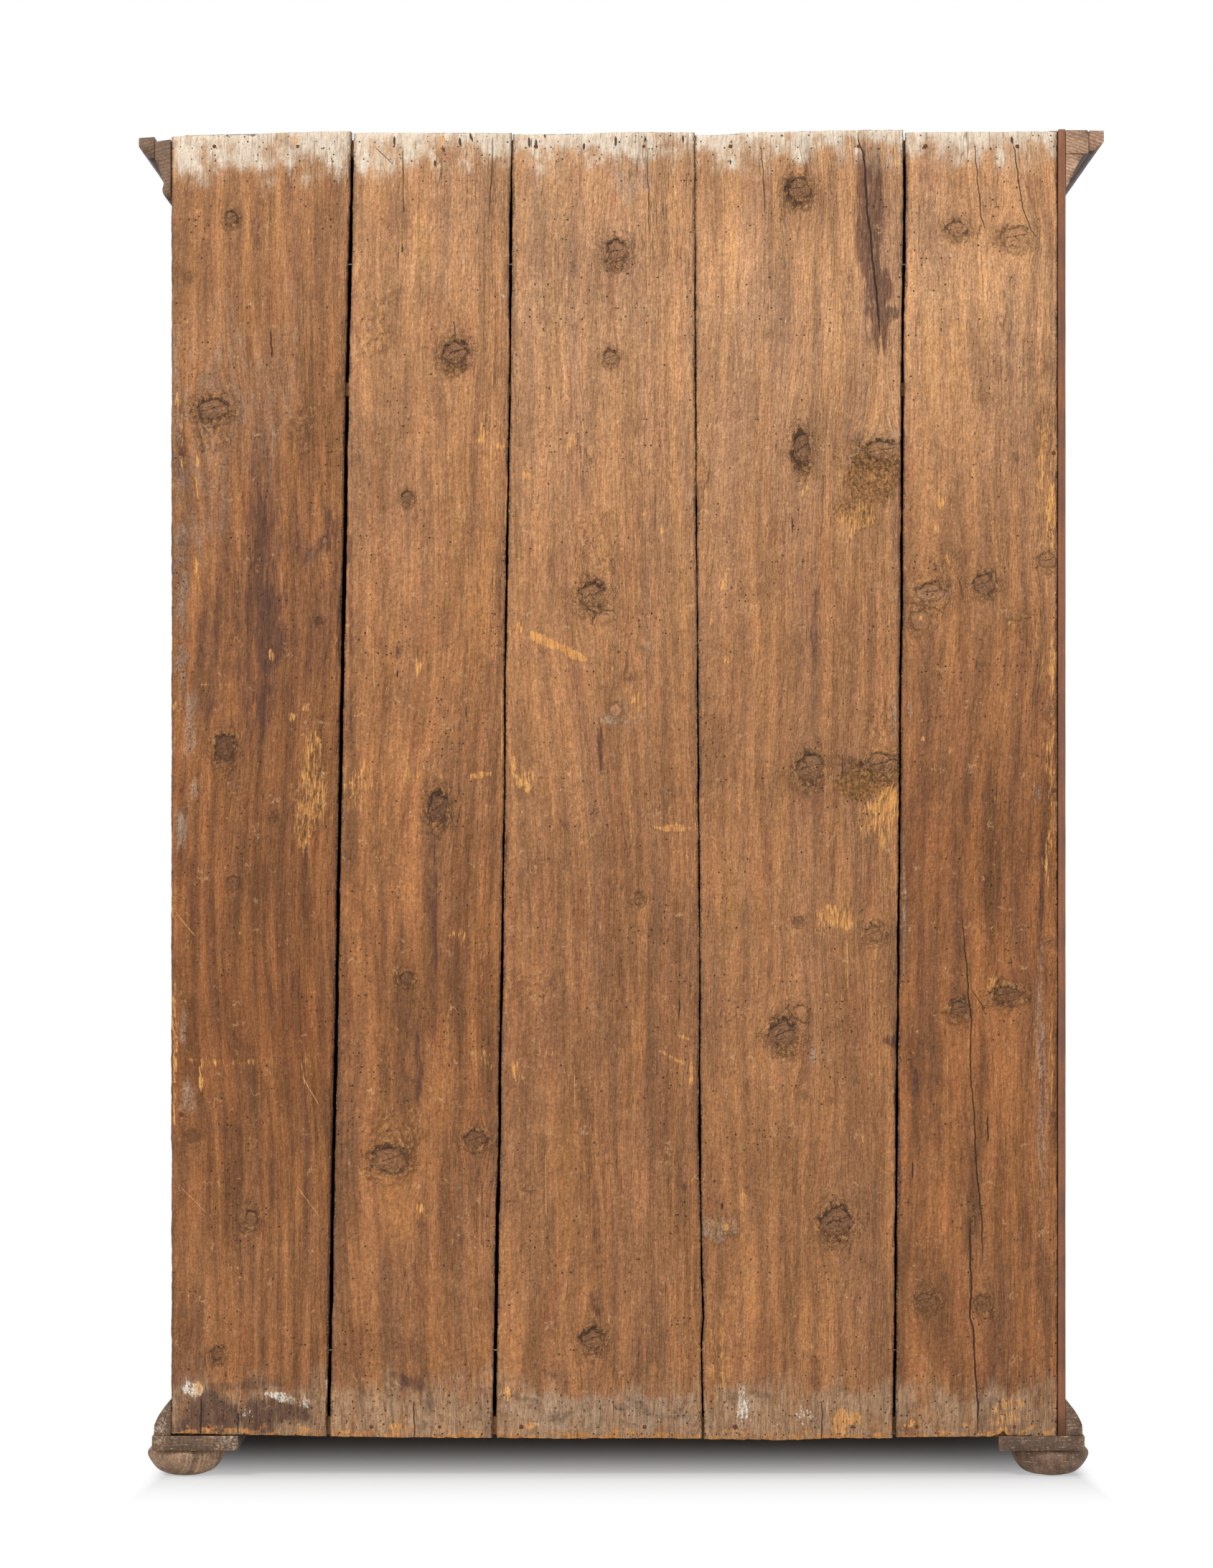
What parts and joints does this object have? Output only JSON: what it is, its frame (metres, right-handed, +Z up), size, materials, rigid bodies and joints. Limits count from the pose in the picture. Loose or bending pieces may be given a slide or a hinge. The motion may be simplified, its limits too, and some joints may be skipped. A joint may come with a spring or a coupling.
{
  "type": "wardrobe",
  "caption": "Old softwood wardrobe with tapered upright back boards, a moulded cornice, panelled doors and flattened bun feet.",
  "frame": {"origin": "on the floor at the middle of the whole outline seen from above", "axes": "+Z up, front towards -Y, the boarded back towards +Y, +X to the right of someone facing the front"},
  "size_m": [1.291, 0.547, 1.805],
  "materials": {
    "back_softwood": "raw, aged and worn",
    "stained_softwood": "old reddish brown stain, waxed",
    "cornice_softwood": "old dark stain, worn",
    "base_softwood": "dark brown, chipped and scuffed",
    "inside_softwood": "raw, lightly aged",
    "old_iron": "dark, lightly rusted",
    "plate_brass": "dull, tarnished"
  },
  "bodies": {
    "carcass": {"back_board_1": "back_softwood", "back_board_2": "back_softwood", "back_board_3": "back_softwood", "back_board_4": "back_softwood", "back_board_5": "back_softwood", "back_nails": "old_iron", "base_front_plate": "base_softwood", "base_moulding_front": "base_softwood", "base_moulding_left": "base_softwood", "base_moulding_right": "base_softwood", "base_runner_left": "base_softwood", "base_runner_right": "base_softwood", "bottom_board": "inside_softwood", "carcass_screws": "old_iron", "cornice_batten_left": "cornice_softwood", "cornice_cove_front": "cornice_softwood", "cornice_cove_left": "cornice_softwood", "cornice_cove_right": "cornice_softwood", "cornice_lath_front": "cornice_softwood", "cornice_lath_left": "cornice_softwood", "cornice_lath_right": "cornice_softwood", "foot_front_left": "base_softwood", "foot_front_right": "base_softwood", "foot_rear_left": "base_softwood", "foot_rear_right": "base_softwood", "front_bottom_rail": "stained_softwood", "front_stile_left": "stained_softwood", "front_stile_right": "stained_softwood", "front_top_rail": "stained_softwood", "hanging_rail": "inside_softwood", "hat_shelf": "inside_softwood", "hinge_frame_leaves": "old_iron", "side_wall_left": "stained_softwood", "side_wall_right": "stained_softwood", "top_board": "inside_softwood"},
    "left_door": {"bolt_guides": "old_iron", "left_door_bottom_rail": "stained_softwood", "left_door_hinge_stile": "stained_softwood", "left_door_lower_panel": "stained_softwood", "left_door_meeting_stile": "stained_softwood", "left_door_middle_rail": "stained_softwood", "left_door_screws": "old_iron", "left_door_top_rail": "stained_softwood", "left_door_upper_panel": "stained_softwood", "left_hinge_leaves": "old_iron"},
    "right_door": {"keyhole_plate": "plate_brass", "lock_case": "old_iron", "right_door_bottom_rail": "stained_softwood", "right_door_hinge_stile": "stained_softwood", "right_door_lower_panel": "stained_softwood", "right_door_meeting_stile": "stained_softwood", "right_door_middle_rail": "stained_softwood", "right_door_screws": "old_iron", "right_door_top_rail": "stained_softwood", "right_door_upper_panel": "stained_softwood", "right_hinge_leaves": "old_iron"},
    "key": {"key": "old_iron"},
    "lock_bolt": {"lock_bolt": "old_iron"},
    "top_bolt": {"top_bolt": "old_iron"},
    "bottom_bolt": {"bottom_bolt": "old_iron"}
  },
  "joints": [
    {"name": "left_door_hinge", "type": "hinge", "parent": "carcass", "child": "left_door", "pos_m": [-0.5335, -0.2325, 0.901], "axis": [0, 0, -1], "range_deg": [0, 165]},
    {"name": "right_door_hinge", "type": "hinge", "parent": "carcass", "child": "right_door", "pos_m": [0.5415, -0.2325, 0.901], "axis": [0, 0, 1], "range_deg": [0, 165]},
    {"name": "key_turn", "type": "hinge", "parent": "right_door", "child": "key", "pos_m": [0.0505, -0.2265, 0.89958], "axis": [0, 1, 0], "range_deg": [0, 180]},
    {"name": "lock_bolt_throw", "type": "slide", "parent": "right_door", "child": "lock_bolt", "axis": [-1, 0, 0], "range_m": [0, 0.014]},
    {"name": "top_bolt_throw", "type": "slide", "parent": "left_door", "child": "top_bolt", "axis": [0, 0, 1], "range_m": [0, 0.018]},
    {"name": "bottom_bolt_throw", "type": "slide", "parent": "left_door", "child": "bottom_bolt", "axis": [0, 0, -1], "range_m": [0, 0.018]}
  ],
  "couplings": [
    {"joint": "key_turn", "follows": "lock_bolt_throw", "rad_per_m": 224.3}
  ]
}
